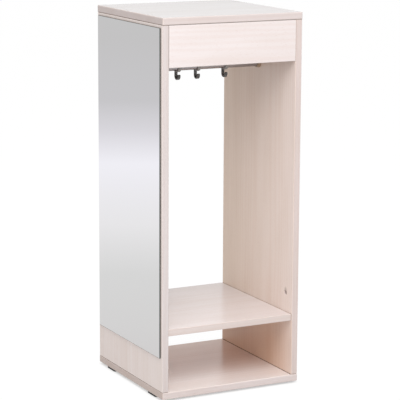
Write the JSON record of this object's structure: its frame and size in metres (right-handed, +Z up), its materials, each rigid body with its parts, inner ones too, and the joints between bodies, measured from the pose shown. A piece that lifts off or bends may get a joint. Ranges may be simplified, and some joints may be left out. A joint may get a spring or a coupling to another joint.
{
  "type": "dress up storage unit with mirror",
  "caption": "Tall open unit for dressing-up clothes: a mirror on its left side, a rail with sliding hooks under an apron, a low shelf and flat glides.",
  "frame": {"origin": "on the floor, under the middle of the box that the whole unit fills", "axes": "+Z up; -Y towards the open front with the front apron; +X to the right as seen from the front, so the mirror faces -X"},
  "size_m": [0.424, 0.42, 1.04],
  "materials": {
    "glazed_board": "white-glazed beech, satin lacquer, fine grain showing through",
    "mirror_silver": "silvered safety glass with a ground edge",
    "foam_tape": "closed-cell foam tape",
    "rail_steel": "drawn steel tube, satin",
    "socket_beech": "turned beech, clear lacquer",
    "hook_plastic": "moulded charcoal nylon, half gloss",
    "glide_plastic": "moulded black plastic, matt",
    "screw_steel": "zinc-plated steel",
    "dowel_beech": "plain beech"
  },
  "bodies": {
    "unit": {"top_panel": "glazed_board", "base_panel": "glazed_board", "left_side_panel": "glazed_board", "right_side_panel": "glazed_board", "shelf": "glazed_board", "front_apron": "glazed_board", "rear_apron": "glazed_board", "mirror_pane": "mirror_silver", "mirror_tape": "foam_tape", "hanging_rail": "rail_steel", "rail_socket_left": "socket_beech", "rail_socket_right": "socket_beech", "rail_socket_screws": "screw_steel", "glide_front_left": "glide_plastic", "glide_front_right": "glide_plastic", "glide_rear_left": "glide_plastic", "glide_rear_right": "glide_plastic", "glide_screws": "screw_steel", "top_dowels": "dowel_beech", "base_dowels": "dowel_beech", "carcass_screws": "screw_steel", "shelf_dowels": "dowel_beech", "front_apron_dowels": "dowel_beech", "rear_apron_dowels": "dowel_beech"},
    "left_hook": {"hook_left": "hook_plastic"},
    "middle_hook": {"hook_middle": "hook_plastic"},
    "right_hook": {"hook_right": "hook_plastic"}
  },
  "joints": [
    {"name": "left_hook_slide", "type": "slide", "parent": "unit", "child": "left_hook", "axis": [1, 0, 0], "range_m": [-0.115, 0.025]},
    {"name": "middle_hook_slide", "type": "slide", "parent": "unit", "child": "middle_hook", "axis": [1, 0, 0], "range_m": [-0.025, 0.038]},
    {"name": "right_hook_slide", "type": "slide", "parent": "unit", "child": "right_hook", "axis": [1, 0, 0], "range_m": [-0.038, 0.093]}
  ]
}
